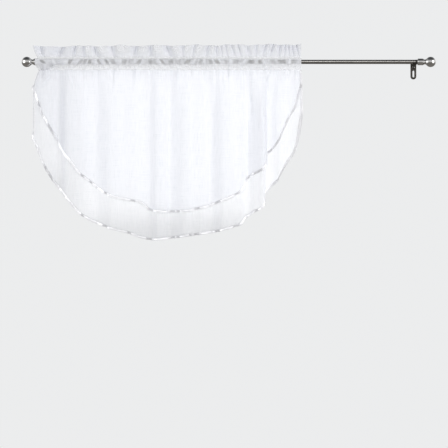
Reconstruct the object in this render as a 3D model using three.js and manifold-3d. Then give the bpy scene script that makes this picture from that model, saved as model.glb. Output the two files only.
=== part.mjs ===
// A sheer two-tier ascot valance, gathered on a telescopic curtain rod with two wall brackets.
// Millimetres, +Z up. +X runs along the rod to the right and +Y points into the wall.
// The origin is on the wall, at the height of the rod's axis, behind the left bracket's plate.
import * as THREE from "three";
import Module from "manifold-3d";
import { mergeVertices } from "three/addons/utils/BufferGeometryUtils.js";

// Driving dimensions of the rod and its brackets
const ROD_PROJECTION = 60;
const BRACKET_SPACING = 1163;
const OUTER_TUBE = { diameter: 16, bore: 14, end: 520 };
const INNER_TUBE = { diameter: 13.4, bore: 11.4, insertion: 80 };
const END_CAP = { start: 8.5, end: 27.2, diameter: 21, bevel: 1.5, plugLength: 14 };
const FINIAL = { ball: 32.5, centre: 49.5, neck: 15, flare: 19, flareLength: 2 };
const PLATE = { width: 18.5, thickness: 2.5, top: 6, bottom: -51.5, corner: 4 };
const SLOT = { width: 5.4, top: -24, bottom: -45 };
const ARM = { width: 12, thickness: 3.2, cradleWall: 2.5, lipAngle: 20 };
const WALL_SCREW = { height: -13, head: 8, headThickness: 2.6, shank: 4, hole: 4.8 };

// Driving dimensions of the cloth
const CLOTH = 1.2;
const GAP = 0.3;
const RIBBON_WIDTH = 7;
const POCKET = { left: 11, right: 808 };
const RUFFLE_LEAN = { reach: 41, fade: 110 };
const RUFFLE_FULLNESS = 0.14;
const SEAM = { height: -25, lean: 0.4, sway: 0.3 };
const SPREAD_DROP = 110;
const SETTLE_DROP = 170;
const TIER_SPACING = { seam: 1.5, hem: 3 };

// How finely the curved surfaces are divided
const ROUND_SIDES = 20;
const SKIRT_COLUMNS = 96;
const SKIRT_ROWS = [0, 0.05, 0.13, 0.25, 0.45, 0.7, 1];
const PLEAT_STEPS = { wide: 5, narrow: 4, wideFrom: 25 };

// The crests of the ruffle's pleats, measured along the pocket: broad on the left, narrow on the right.
const PLEAT_CRESTS = [
  11, 31, 71, 106, 139, 189, 239, 301, 354, 423, 448, 476, 523, 551, 567,
  586, 611, 629, 654, 670, 695, 717, 745, 761, 776, 792, 808,
];

// The heading's section on the room side, from its lower seam to the ruffle's top edge.
// half: from the middle to the face; sway: share of the pleats; lean: share of the left end's lean.
const HEADING_SECTION = [
  { up: SEAM.height, half: 2.2, sway: SEAM.sway, lean: SEAM.lean },
  { up: -18, half: 2.6, sway: 0.16, lean: 0.08 },
  { up: -12, half: 7.2, sway: 0.08, lean: 0 },
  { up: 0, half: 11.2, sway: 0.08, lean: 0 },
  { up: 8, half: 8, sway: 0.08, lean: 0 },
  { up: 13, half: 1.6, sway: 0.3, lean: 0.5 },
  { up: 51, half: 1.2, sway: 1, lean: 1 },
];

// The pocket's inside round the rod, from its lowest line up the room side to its highest line.
const POCKET_SECTION = [
  { up: -14.5, half: 0, sway: 0.08 },
  { up: -11.3, half: 5.9, sway: 0.08 },
  { up: 0, half: 9.9, sway: 0.08 },
  { up: 7.2, half: 7, sway: 0.08 },
  { up: 8.8, half: 0, sway: 0.08 },
];

// The skirt's fold lines in the order of the cloth, from its left edge to its right edge.
// across: place along the rod; depth: behind the rod's axis, negative towards the room;
// shortDrop, longDrop: from the seam down to the front and back tier's hem.
const FOLD_LINES = [
  { across: -36, depth: 4, shortDrop: 64, longDrop: 222 },
  { across: 1, depth: -9, shortDrop: 147, longDrop: 296 },
  { across: 27, depth: -1, shortDrop: 194, longDrop: 339 },
  { across: 49, depth: 9, shortDrop: 232, longDrop: 371 },
  { across: 79, depth: -15, shortDrop: 279, longDrop: 409 },
  { across: 112, depth: -11, shortDrop: 324, longDrop: 447 },
  { across: 142, depth: 2, shortDrop: 348, longDrop: 468 },
  { across: 166, depth: 7, shortDrop: 366, longDrop: 480 },
  { across: 216, depth: -17, shortDrop: 397, longDrop: 499 },
  { across: 258, depth: -6, shortDrop: 407, longDrop: 509 },
  { across: 282, depth: -8, shortDrop: 412, longDrop: 517 },
  { across: 304, depth: -2, shortDrop: 416, longDrop: 525 },
  { across: 334, depth: -1, shortDrop: 439, longDrop: 532 },
  { across: 360, depth: -15, shortDrop: 444, longDrop: 533 },
  { across: 382, depth: -6, shortDrop: 446, longDrop: 530 },
  { across: 398, depth: 4, shortDrop: 446, longDrop: 528 },
  { across: 445, depth: -17, shortDrop: 444, longDrop: 522 },
  { across: 474, depth: -8, shortDrop: 439, longDrop: 518 },
  { across: 496, depth: -8, shortDrop: 434, longDrop: 515 },
  { across: 526, depth: 5, shortDrop: 425, longDrop: 510 },
  { across: 566, depth: -17, shortDrop: 410, longDrop: 502 },
  { across: 601, depth: -9, shortDrop: 394, longDrop: 492 },
  { across: 620, depth: -3, shortDrop: 380, longDrop: 485 },
  { across: 640, depth: 10, shortDrop: 344, longDrop: 461 },
  { across: 662, depth: -4, shortDrop: 328, longDrop: 445 },
  { across: 688, depth: -15, shortDrop: 313, longDrop: 432 },
  { across: 698, depth: -5, shortDrop: 294, longDrop: 416 },
  { across: 698, depth: 14, shortDrop: 269, longDrop: 386 },
  { across: 718, depth: 15, shortDrop: 252, longDrop: 363 },
  { across: 739, depth: 3, shortDrop: 224, longDrop: 341 },
  { across: 767, depth: 10, shortDrop: 160, longDrop: 291 },
  { across: 792, depth: 4, shortDrop: 116, longDrop: 242 },
  { across: 812, depth: -3, shortDrop: 56, longDrop: 150 },
];

// The crests that run straight up to the seam. Between two of them the cloth is gathered evenly.
const SEAM_CRESTS = [79, 216, 360, 445, 566, 688];

const COLOURS = { voile: 0xeef1f7, satin: 0xf8f8fa, pewter: 0x77726c, nickel: 0xa9a7a4, bronze: 0x524c46 };

const { lerp, clamp, degToRad } = THREE.MathUtils;
const wasm = await Module();
wasm.setup();

const valance = new THREE.Group();

function addPiece(name, geometry, colour, roughness, metalness) {
  const material = new THREE.MeshStandardMaterial({ color: colour, roughness, metalness });
  const piece = new THREE.Mesh(geometry, material);
  piece.name = name;
  valance.add(piece);
  return piece;
}

// Cloth: the plan curve of the folds, whose length is the flat width of the cloth
const plan = new THREE.CatmullRomCurve3(
  FOLD_LINES.map((line) => new THREE.Vector3(line.across, line.depth, 0)), false, "centripetal");
const LENGTHS_PER_LINE = 40;
plan.arcLengthDivisions = LENGTHS_PER_LINE * (FOLD_LINES.length - 1);
const flatWidth = plan.getLength();
const foldPlaces = FOLD_LINES.map((line, i) => plan.getLengths()[i * LENGTHS_PER_LINE]);

// Where each place on the flat cloth meets the seam
const crestPlaces = foldPlaces.filter((place, i) => SEAM_CRESTS.includes(FOLD_LINES[i].across));
const seamCurve = new THREE.LinearInterpolant(
  [0, ...crestPlaces, flatWidth], [POCKET.left, ...SEAM_CRESTS, POCKET.right], 1);

function hemCurve(column) {
  const drops = FOLD_LINES.map((line) => line[column]);
  const curve = new THREE.CubicInterpolant(foldPlaces, drops, 1);
  return (place) => curve.evaluate(clamp(place, 0, flatWidth))[0];
}

// How far up the cloth a band along the hem reaches, measured straight up at one place.
function bandHeight(hem, place, width) {
  const step = 2;
  const slope = (hem(place + step) - hem(place - step)) / (2 * step);
  return width * Math.hypot(1, slope);
}

// The ruffle's pleats as a depth, towards the room at each crest.
function pleatDepth(across) {
  const place = clamp(across, PLEAT_CRESTS[0], PLEAT_CRESTS.at(-1) - 0.001);
  const next = PLEAT_CRESTS.findIndex((crest) => crest > place);
  const pitch = PLEAT_CRESTS[next] - PLEAT_CRESTS[next - 1];
  const phase = (place - PLEAT_CRESTS[next - 1]) / pitch;
  return -RUFFLE_FULLNESS * pitch * Math.cos(2 * Math.PI * phase);
}

function leanFrom(across, share) {
  const fade = clamp(1 - (across - POCKET.left) / RUFFLE_LEAN.fade, 0, 1);
  return across - RUFFLE_LEAN.reach * share * fade * fade;
}

// A point of the skirt by its place across the flat cloth and its drop below the seam.
function hangPoint(place, drop) {
  const fold = plan.getPointAt(clamp(place / flatWidth, 0, 1));
  const gathered = seamCurve.evaluate(clamp(place, 0, flatWidth))[0];
  const spread = 1 - (1 - clamp(drop / SPREAD_DROP, 0, 1)) ** 3;
  const settle = 1 - (1 - clamp(drop / SETTLE_DROP, 0, 1)) ** 2;
  const across = lerp(leanFrom(gathered, SEAM.lean), fold.x, spread);
  const depth = lerp(SEAM.sway * pleatDepth(gathered), fold.y, settle);
  return new THREE.Vector3(across, depth - ROD_PROJECTION, SEAM.height - GAP - drop);
}

// The two faces of a sheet at that point, for a tier in front of (side 1) or behind (side -1) the other.
function sheetFaces(place, drop, side) {
  const step = 1.5;
  const along = hangPoint(place + step, drop).sub(hangPoint(place - step, drop));
  const roomward = new THREE.Vector3(along.y, -along.x, 0).normalize();
  const settle = clamp(drop / SETTLE_DROP, 0, 1);
  const offset = side * lerp(TIER_SPACING.seam, TIER_SPACING.hem, settle);
  const middle = hangPoint(place, drop);
  return {
    front: middle.clone().addScaledVector(roomward, offset + CLOTH / 2),
    back: middle.clone().addScaledVector(roomward, offset - CLOTH / 2),
  };
}

// A closed sheet from columns of faces, left to right, each from its upper end to its lower end.
function sheetGeometry(columns) {
  const rows = columns[0].length;
  const last = columns.length - 1;
  const positions = [];
  const indices = [];
  const front = (i, j) => 2 * (i * rows + j);
  const back = (i, j) => front(i, j) + 1;
  const quad = (a, b, c, d) => indices.push(a, b, c, a, c, d);
  for (const faces of columns.flat()) {
    positions.push(...faces.front.toArray(), ...faces.back.toArray());
  }
  for (let i = 0; i < last; i += 1) {
    for (let j = 0; j < rows - 1; j += 1) {
      quad(front(i, j), front(i, j + 1), front(i + 1, j + 1), front(i + 1, j));
      quad(back(i, j), back(i + 1, j), back(i + 1, j + 1), back(i, j + 1));
    }
    quad(front(i, 0), front(i + 1, 0), back(i + 1, 0), back(i, 0));
    quad(front(i, rows - 1), back(i, rows - 1), back(i + 1, rows - 1), front(i + 1, rows - 1));
  }
  for (let j = 0; j < rows - 1; j += 1) {
    quad(front(0, j + 1), front(0, j), back(0, j), back(0, j + 1));
    quad(front(last, j), front(last, j + 1), back(last, j + 1), back(last, j));
  }
  const geometry = new THREE.BufferGeometry();
  geometry.setAttribute("position", new THREE.Float32BufferAttribute(positions, 3));
  geometry.setIndex(indices);
  return geometry;
}

function tierGeometry(hem, side) {
  const inset = RIBBON_WIDTH + GAP;
  const columns = [];
  for (let i = 0; i <= SKIRT_COLUMNS; i += 1) {
    const place = lerp(inset, flatWidth - inset, i / SKIRT_COLUMNS);
    const length = hem(place) - bandHeight(hem, place, inset);
    columns.push(SKIRT_ROWS.map((share) => sheetFaces(place, share * length, side)));
  }
  return sheetGeometry(columns);
}

// The ribbon's two edges: down the left side of the cloth, along its hem and up its right side.
function ribbonGeometry(hem, side) {
  const columns = [];
  const station = (inner, outer) => columns.push([
    sheetFaces(inner.place, inner.drop, side),
    sheetFaces(outer.place, outer.drop, side),
  ]);
  const innerDrop = (place) => hem(place) - bandHeight(hem, place, RIBBON_WIDTH);
  const sideStation = (edge, inner, share) => station(
    { place: inner, drop: share * innerDrop(inner) }, { place: edge, drop: share * hem(edge) });
  for (const share of SKIRT_ROWS) {
    sideStation(0, RIBBON_WIDTH, share);
  }
  for (let i = 1; i < SKIRT_COLUMNS; i += 1) {
    const place = lerp(RIBBON_WIDTH, flatWidth - RIBBON_WIDTH, i / SKIRT_COLUMNS);
    station({ place, drop: innerDrop(place) }, { place, drop: hem(place) });
  }
  for (const share of SKIRT_ROWS.toReversed()) {
    sideStation(flatWidth, flatWidth - RIBBON_WIDTH, share);
  }
  return sheetGeometry(columns);
}

function headingColumns() {
  const places = [];
  for (let i = 0; i < PLEAT_CRESTS.length - 1; i += 1) {
    const pitch = PLEAT_CRESTS[i + 1] - PLEAT_CRESTS[i];
    const steps = pitch > PLEAT_STEPS.wideFrom ? PLEAT_STEPS.wide : PLEAT_STEPS.narrow;
    for (let k = 0; k < steps; k += 1) {
      places.push(PLEAT_CRESTS[i] + (pitch * k) / steps);
    }
  }
  places.push(PLEAT_CRESTS.at(-1));
  return places;
}

// A loop round a section given on its room side: up the room side, then down the wall side.
function sectionLoop(rows) {
  const roomSide = rows.map((row) => ({ ...row, out: row.half }));
  const wallSide = rows.filter((row) => row.half > 0).map((row) => ({ ...row, out: -row.half }));
  return [...roomSide, ...wallSide.reverse()];
}

// The ruffle and the rod pocket under it, one strip of cloth with the rod's tunnel through it.
function headingGeometry() {
  const outer = sectionLoop(HEADING_SECTION);
  const inner = sectionLoop(POCKET_SECTION);
  const loop = [...outer, ...inner];
  const places = headingColumns();
  const positions = [];
  const indices = [];
  const at = (column, point) => column * loop.length + point;
  const quad = (a, b, c, d) => indices.push(a, b, c, a, c, d);
  for (const place of places) {
    for (const point of loop) {
      const across = leanFrom(place, point.lean ?? 0);
      positions.push(across, point.sway * pleatDepth(place) - point.out - ROD_PROJECTION, point.up);
    }
  }
  for (let k = 0; k < places.length - 1; k += 1) {
    outer.forEach((_, m) => {
      const next = (m + 1) % outer.length;
      quad(at(k, next), at(k, m), at(k + 1, m), at(k + 1, next));
    });
    inner.forEach((_, m) => {
      const here = outer.length + m;
      const next = outer.length + ((m + 1) % inner.length);
      quad(at(k, here), at(k, next), at(k + 1, next), at(k + 1, here));
    });
  }
  const flat = (point) => new THREE.Vector2(point.out, point.up);
  const corners = loop.map(flat);
  for (const [a, b, c] of THREE.ShapeUtils.triangulateShape(outer.map(flat), [inner.map(flat)])) {
    const turn = THREE.ShapeUtils.area([corners[a], corners[b], corners[c]]);
    const face = turn > 0 ? [a, b, c] : [a, c, b];
    indices.push(...face.map((point) => at(0, point)));
    indices.push(...face.reverse().map((point) => at(places.length - 1, point)));
  }
  const geometry = new THREE.BufferGeometry();
  geometry.setAttribute("position", new THREE.Float32BufferAttribute(positions, 3));
  geometry.setIndex(indices);
  return geometry;
}

function buildCloth() {
  const shortHem = hemCurve("shortDrop");
  const longHem = hemCurve("longDrop");
  addPiece("heading", headingGeometry(), COLOURS.voile, 0.85, 0);
  addPiece("front_tier", tierGeometry(shortHem, 1), COLOURS.voile, 0.85, 0);
  addPiece("back_tier", tierGeometry(longHem, -1), COLOURS.voile, 0.85, 0);
  addPiece("front_ribbon", ribbonGeometry(shortHem, 1), COLOURS.satin, 0.35, 0);
  addPiece("back_ribbon", ribbonGeometry(longHem, -1), COLOURS.satin, 0.35, 0);
}

// Turned pieces lie along the rod's axis: a profile gives their distance along it and their radius.
function turned(profile, sides = ROUND_SIDES) {
  const points = profile.map(([along, radius]) => new THREE.Vector2(radius, along));
  return new THREE.LatheGeometry(points, sides).rotateZ(-Math.PI / 2);
}

function tubeGeometry(diameter, bore, length) {
  const [outside, inside] = [diameter / 2, bore / 2];
  return turned([[0, inside], [0, outside], [length, outside], [length, inside], [0, inside]]);
}

function endCapGeometry(bore) {
  const { start, end, diameter, bevel, plugLength } = END_CAP;
  const plug = bore / 2 - GAP;
  const rim = diameter / 2;
  return turned([
    [start - plugLength, 0], [start - plugLength, plug], [start, plug], [start, rim - bevel], [start + bevel, rim],
    [end - bevel, rim], [end, rim - bevel], [end, 0],
  ]);
}

function finialGeometry() {
  const { ball, centre, neck, flare, flareLength } = FINIAL;
  const foot = END_CAP.end + GAP;
  const arcSteps = 9;
  const neckAngle = Math.asin(neck / ball);
  const profile = [[foot, 0], [foot, flare / 2], [foot + flareLength, neck / 2]];
  for (let i = 0; i < arcSteps; i += 1) {
    const angle = lerp(Math.PI - neckAngle, 0, i / arcSteps);
    profile.push([centre + (ball / 2) * Math.cos(angle), (ball / 2) * Math.sin(angle)]);
  }
  profile.push([centre + ball / 2, 0]);
  return turned(profile);
}

function buildRod() {
  const outerStart = -END_CAP.start + GAP;
  const innerStart = OUTER_TUBE.end - INNER_TUBE.insertion;
  const innerEnd = BRACKET_SPACING + END_CAP.start - GAP;
  const outerTube = tubeGeometry(OUTER_TUBE.diameter, OUTER_TUBE.bore, OUTER_TUBE.end - outerStart);
  const innerTube = tubeGeometry(INNER_TUBE.diameter, INNER_TUBE.bore, innerEnd - innerStart);
  addPiece("rod_outer_tube", outerTube, COLOURS.pewter, 0.35, 0.9).position.x = outerStart;
  addPiece("rod_inner_tube", innerTube, COLOURS.pewter, 0.35, 0.9).position.x = innerStart;
  const ends = [
    { end: "left", across: 0, turn: Math.PI, bore: OUTER_TUBE.bore },
    { end: "right", across: BRACKET_SPACING, turn: 0, bore: INNER_TUBE.bore },
  ];
  for (const { end, across, turn, bore } of ends) {
    for (const [name, geometry] of [["end_cap", endCapGeometry(bore)], ["finial", finialGeometry()]]) {
      const piece = addPiece(`${name}_${end}`, geometry, COLOURS.nickel, 0.25, 0.95);
      piece.rotation.z = turn;
      piece.position.x = across;
    }
  }
  for (const piece of valance.children.filter((child) => /rod|cap|finial/.test(child.name))) {
    piece.position.y = -ROD_PROJECTION;
  }
}

function roundedSlot(width, top, bottom) {
  const path = new THREE.Path();
  const radius = width / 2;
  path.absarc(0, top - radius, radius, 0, Math.PI, false);
  path.absarc(0, bottom + radius, radius, Math.PI, 2 * Math.PI, false);
  path.closePath();
  return path;
}

// The wall plate with its rounded lower end, its screw hole and its hanging slot.
function plateGeometry() {
  const { width, thickness, top, bottom, corner } = PLATE;
  const side = width / 2;
  const outline = new THREE.Shape();
  outline.absarc(side - corner, top - corner, corner, 0, Math.PI / 2, false);
  outline.absarc(corner - side, top - corner, corner, Math.PI / 2, Math.PI, false);
  outline.absarc(0, bottom + side, side, Math.PI, 2 * Math.PI, false);
  outline.closePath();
  const hole = new THREE.Path();
  hole.absarc(0, WALL_SCREW.height, WALL_SCREW.hole / 2, 0, 2 * Math.PI, true);
  outline.holes.push(hole, roundedSlot(SLOT.width, SLOT.top, SLOT.bottom));
  const options = { depth: thickness, bevelEnabled: false, curveSegments: 6 };
  return new THREE.ExtrudeGeometry(outline, options).rotateX(Math.PI / 2);
}

// The arm and the open cradle under the rod, drawn from the side: x is out from the wall, y is up.
function armGeometry(rodDiameter) {
  const inside = rodDiameter / 2 + GAP;
  const outside = inside + ARM.cradleWall;
  const lip = -degToRad(ARM.lipAngle);
  const root = PLATE.thickness / 2;
  const profile = new THREE.Shape();
  profile.moveTo(root, 0);
  profile.absarc(ROD_PROJECTION, 0, inside, -Math.PI, lip, false);
  profile.absarc(ROD_PROJECTION, 0, outside, lip, Math.asin(ARM.thickness / outside) - Math.PI, true);
  profile.lineTo(root, -ARM.thickness);
  profile.closePath();
  const options = { depth: ARM.width, bevelEnabled: false, curveSegments: 7 };
  const sideways = new THREE.ExtrudeGeometry(profile, options).translate(0, 0, -ARM.width / 2);
  return sideways.rotateX(Math.PI / 2).rotateZ(-Math.PI / 2);
}

function toManifold(geometry) {
  const bare = geometry.clone();
  bare.deleteAttribute("normal");
  bare.deleteAttribute("uv");
  const merged = mergeVertices(bare, 1e-4);
  return new wasm.Manifold(new wasm.Mesh({
    numProp: 3,
    vertProperties: Float32Array.from(merged.attributes.position.array),
    triVerts: Uint32Array.from(merged.index.array),
  }));
}

function fromManifold(solid) {
  const mesh = solid.getMesh();
  const geometry = new THREE.BufferGeometry();
  geometry.setAttribute("position", new THREE.BufferAttribute(mesh.vertProperties, 3));
  geometry.setIndex(new THREE.BufferAttribute(mesh.triVerts, 1));
  return geometry;
}

function wallScrewGeometry() {
  const { head, headThickness, shank } = WALL_SCREW;
  const seat = PLATE.thickness + GAP;
  const profile = [
    [GAP, 0], [GAP, shank / 2], [seat, shank / 2], [seat, head / 2], [seat + headThickness * 0.6, head / 2],
    [seat + headThickness, head * 0.3], [seat + headThickness, 0],
  ];
  return turned(profile, 16).rotateZ(-Math.PI / 2);
}

function buildBrackets() {
  const ends = [
    { end: "left", across: 0, rod: OUTER_TUBE.diameter },
    { end: "right", across: BRACKET_SPACING, rod: INNER_TUBE.diameter },
  ];
  for (const { end, across, rod } of ends) {
    const strip = fromManifold(toManifold(plateGeometry()).add(toManifold(armGeometry(rod))));
    addPiece(`bracket_${end}`, strip, COLOURS.bronze, 0.45, 0.8).position.x = across;
    const screw = addPiece(`wall_screw_${end}`, wallScrewGeometry(), COLOURS.pewter, 0.4, 0.9);
    screw.position.set(across, 0, WALL_SCREW.height);
  }
}

buildCloth();
buildRod();
buildBrackets();

export default valance;
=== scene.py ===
import math
from types import SimpleNamespace as Values

import bmesh
import bpy
import numpy as np
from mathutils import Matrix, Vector


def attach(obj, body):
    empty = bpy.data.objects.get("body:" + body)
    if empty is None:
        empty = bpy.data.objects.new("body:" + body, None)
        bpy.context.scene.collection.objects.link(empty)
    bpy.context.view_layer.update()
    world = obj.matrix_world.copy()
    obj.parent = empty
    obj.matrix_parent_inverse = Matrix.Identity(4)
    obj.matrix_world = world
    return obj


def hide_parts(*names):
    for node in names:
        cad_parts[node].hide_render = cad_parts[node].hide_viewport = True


# A sheer two-tier ascot valance on its rod. Sizes are in millimetres, and MM turns them into the frame's
# metres when a mesh is made. +X runs along the rod to the right, +Y away from the room, +Z up, and the
# rod's axis lies at Y = -ROD_PROJECTION, Z = 0.
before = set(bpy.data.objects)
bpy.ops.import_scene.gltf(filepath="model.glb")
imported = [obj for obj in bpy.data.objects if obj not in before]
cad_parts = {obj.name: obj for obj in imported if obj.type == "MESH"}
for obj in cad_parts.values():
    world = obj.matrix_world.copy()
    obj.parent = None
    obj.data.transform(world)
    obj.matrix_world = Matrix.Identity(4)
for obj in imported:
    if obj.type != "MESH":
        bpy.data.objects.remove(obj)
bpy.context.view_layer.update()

MM = 0.001
ROD_PROJECTION = 60.0
BRACKET_SPACING = 1163.0

# Sizes of the cloth
SHEET = 0.4
RIBBON_WIDTH = 7.0
RIBBON_HALF_THICKNESS = 0.25
RIBBON_OVERLAP = 1.2
RIBBON_CROWN = 0.25
RIBBON_SQUARENESS = 0.6
POCKET_LEFT = 11.0
POCKET_RIGHT = 808.0
RUFFLE_LEAN = 41.0
LEAN_FADE = 110.0
PLEAT_FULLNESS = 0.20
PLEAT_VALLEY = 0.66
PLEAT_TURN = 1.7
SEAM_HEIGHT = -25.0
SEAM_GAP = 0.3
SEAM_LEAN = 0.6
SEAM_SWAY = 0.3
SEAM_TUCK = 0.6
SPREAD_DROP = 110.0
SETTLE_DROP = 170.0
TIER_SPACING_SEAM = 1.5
TIER_SPACING_HEM = 3.0
HEM_CORNER = 10.0
STITCH = Values(
    pitch=2.4, length=1.8, radius=0.12, end=0.4, arch=0.25, sunk=0.4,
    stations=5, sides=6)

# How finely the cloth is divided
TIER_COLUMNS = 430
TIER_ROWS = 84
ROW_CROWDING = 1.25
HEADING_COLUMNS = 720
HEADING_ROWS = 58
RIBBON_STATIONS = 760
RIBBON_SIDE_STATIONS = 60
RIBBON_CORNER_STATIONS = 8
RIBBON_SECTION = 12
HEM_SAMPLES = 400


def table(names, *rows):
    """A table's columns by name."""
    return {name: np.array(values, float) for name, values in zip(names.split(), zip(*rows))}


# The crests of the ruffle's pleats along the pocket.
PLEAT_CRESTS = np.array([
    11, 31, 71, 106, 139, 189, 239, 301, 354, 423, 448, 476, 523, 551, 567,
    586, 611, 629, 654, 670, 695, 717, 745, 761, 776, 792, 808,
], float)

# The skirt's fold lines in the order of the cloth. depth is behind the rod's axis, negative towards
# the room; the drops run from the seam down to the front and the back tier's hem.
FOLD_LINES = table(
    "across depth short_drop long_drop",
    (-36, 4, 64, 222), (1, -9, 147, 296), (27, -1, 194, 339), (49, 9, 232, 371),
    (79, -15, 279, 409), (112, -11, 324, 447), (142, 2, 348, 468), (166, 7, 366, 480),
    (216, -17, 397, 499), (258, -6, 407, 509), (282, -8, 412, 517), (304, -2, 416, 525),
    (334, -1, 439, 532), (360, -15, 444, 533), (382, -6, 446, 530), (398, 4, 446, 528),
    (445, -17, 444, 522), (474, -8, 439, 518), (496, -8, 434, 515), (526, 5, 425, 510),
    (566, -17, 410, 502), (601, -9, 394, 492), (620, -3, 380, 485), (640, 10, 344, 461),
    (662, -4, 328, 445), (688, -15, 313, 432), (698, -5, 294, 416), (698, 14, 269, 386),
    (718, 15, 252, 363), (739, 3, 224, 341), (767, 10, 160, 291), (792, 4, 116, 242),
    (812, -3, 56, 150),
)

# The crests that run straight up to the seam. Between two of them the cloth is gathered evenly.
SEAM_CRESTS = np.array([79, 216, 360, 445, 566, 688], float)

# Ridges that fall from the seam: where each starts and ends along the rod, how far down it reaches and
# how far it stands out, before GATHER.scale.
GATHERS = (
    (-20, -14, 60, 2.6), (8, 23, 80, 3.2), (39, 36, 32, 2.4), (77, 98, 120, 3.6), (92, 104, 45, 2.4),
    (129, 140, 40, 2.4), (164, 157, 95, 3.2), (198, 205, 38, 2.4), (226, 226, 120, 3.6),
    (240, 246, 30, 2), (292, 283, 100, 3.2), (329, 339, 90, 3.2), (364, 360, 30, 2.2),
    (383, 383, 110, 3.6), (426, 417, 85, 3), (467, 451, 80, 3), (504, 501, 90, 3.2),
    (532, 532, 100, 3.2), (551, 556, 28, 2), (586, 576, 80, 3), (620, 614, 85, 3),
    (642, 640, 28, 2), (657, 664, 75, 2.8), (679, 683, 28, 2), (698, 707, 70, 2.6),
    (717, 722, 26, 2), (757, 748, 85, 2.8), (795, 792, 60, 2.2),
)

# Soft troughs that cross the folds: both ends, the sideways bend between them, depth and half width.
CREASES = (
    (29, 2, -8, 54, 10, 4.8, 5), (58, 0, 56, 120, 0, 2, 7), (186, 4, 204, 40, 5, 2.4, 6),
    (330, 12, 345, 90, 6, 1.8, 6), (638, 36, 656, 190, 4, 2.8, 7), (690, 8, 697, 200, 2, 2, 6),
    (731, 70, 741, 220, 3, 2.4, 6), (775, 10, 772, 70, 3, 1.8, 6),
)

# Where the pocket lies close on the rod between its gathers: the middle of the stretch along the
# pocket, its half length, and the share of the gathers that it takes away.
FLAT_SPOTS = (
    (26, 5, 0.9), (53, 5, 0.3), (69, 4, 0.2), (89, 5, 1), (126, 14, 0.6), (147, 6, 1), (175, 5, 0.7),
    (201, 6, 1), (220, 8, 0.6), (261, 17, 0.6), (303, 7, 0.9), (339, 15, 0.7), (373, 6, 0.9),
    (401, 8, 0.8), (423, 8, 0.6), (453, 8, 1), (492, 12, 0.5), (526, 7, 0.9), (545, 8, 1),
    (576, 8, 0.6), (607, 12, 0.6), (651, 11, 1), (678, 8, 1), (717, 10, 0.6), (748, 13, 1),
    (786, 10, 0.7),
)

# Where each ribbon rolls over along its hem: the middle of the stretch, its half length, and the turn
# of its face in degrees, up or, if negative, down. RIBBON_TURN holds elsewhere and SIDE_TURN up the left.
ROLL_STEEPNESS = 3
RIBBON_TURN = 10
SIDE_TURN = -74
FRONT_ROLLS = (
    (-19, 8, -4), (-10, 3, -40), (0, 6, -4), (25, 9, -24), (79, 5, 13), (124, 5, -36), (150, 5, -28),
    (198, 4, -38), (210, 5, 13), (222, 4, 13), (265, 6, 13), (283, 6, -36), (338, 6, -36), (376, 9, 13),
    (406, 6, -38), (424, 5, -20), (482, 7, -38), (547, 8, -38), (606, 7, -30), (626, 8, 13), (641, 6, -34),
    (672, 12, -22), (710, 8, -22), (742, 24, -20), (800, 20, -22),
)
BACK_ROLLS = (
    (-28, 4, -4), (-20, 4, -4), (-5, 9, -4), (10, 4, -36), (24, 7, -24), (78, 9, 13), (108, 8, 13),
    (124, 4, -36), (196, 7, -36), (206, 5, 13), (270, 5, -36), (333, 8, -36), (368, 12, 13), (407, 5, -38),
    (423, 5, -20), (461, 4, -26), (480, 7, -34), (546, 6, -36), (604, 9, -32), (623, 7, 13), (668, 5, -34),
    (742, 26, -20), (800, 22, -20),
)

# The heading's section, once round the cloth: up the room side from the lower seam, over the ruffle's
# top fold and down the rear side. out is towards the room; sway, lean and gather are shares of the
# pleats, of the left end's lean and of the small gathers.
HEADING_SECTION = table(
    "up out sway lean gather",
    (-25.6, 2.2, 0.3, 0.6, 0.2), (-18, 5, 0.16, 0.72, 0.8), (-10, 8.8, 0.08, 0.82, 1),
    (0, 11, 0.08, 0.86, 1), (8, 7.9, 0.08, 0.82, 1), (12.6, 1.5, 0.26, 0.7, 0.6),
    (18, 1.6, 0.4, 0.74, 0.5), (34, 1.9, 0.75, 0.88, 0.1), (50, 1.3, 1, 1, 0),
    (51.3, 0, 1, 1, 0),
    (50, -1.3, 1, 1, 0), (34, -1.9, 0.75, 0.88, 0), (18, -1.6, 0.4, 0.74, 0),
    (12.6, -1.5, 0.26, 0.6, 0), (8, -7.9, 0.08, 0.05, 0.2), (0, -11, 0.08, 0, 0.2),
    (-12, -7.1, 0.08, 0, 0.2), (-18, -3.2, 0.16, 0.3, 0.1), (-25.6, -2.2, 0.3, 0.6, 0),
)

# Rows of stitches: the share of the way round the heading's section, and 1 on the room side or -1 on the
# rear side. The first and the last are on the lower seam, the others below the ruffle.
STITCH_ROWS = ((0.02, 1), (0.278, 1), (0.722, -1), (0.98, -1))


def lerp(a, b, share):
    return a + (b - a) * share


def bell(offset, width):
    return np.exp(-0.5 * (offset / width) ** 2)


def plateau(offset, half, steepness):
    """1 in the middle and 0 far out, with its edges at half."""
    return np.exp(-np.abs(offset / half) ** steepness)


def smooth(share):
    share = np.clip(share, 0, 1)
    return share * share * (3 - 2 * share)


def paired(first, second):
    """Two values for each point of a grid."""
    return np.stack(np.broadcast_arrays(first, second), axis=-1)


def path_lengths(points):
    """How far along a path each of its points lies."""
    return np.concatenate([[0], np.cumsum(np.linalg.norm(np.diff(points, axis=0), axis=1))])


def between(values):
    """The mean of each two neighbours, with the first and the last value at the ends."""
    return np.concatenate([values[:1], (values[:-1] + values[1:]) / 2, values[-1:]])


def find_span(x, knots):
    """The span between two knots that each x lies in, and the share of the way across it."""
    i = np.clip(np.searchsorted(knots, x, side="right") - 1, 0, len(knots) - 2)
    return i, np.clip((x - knots[i]) / (knots[i + 1] - knots[i]), 0, 1)


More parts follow.
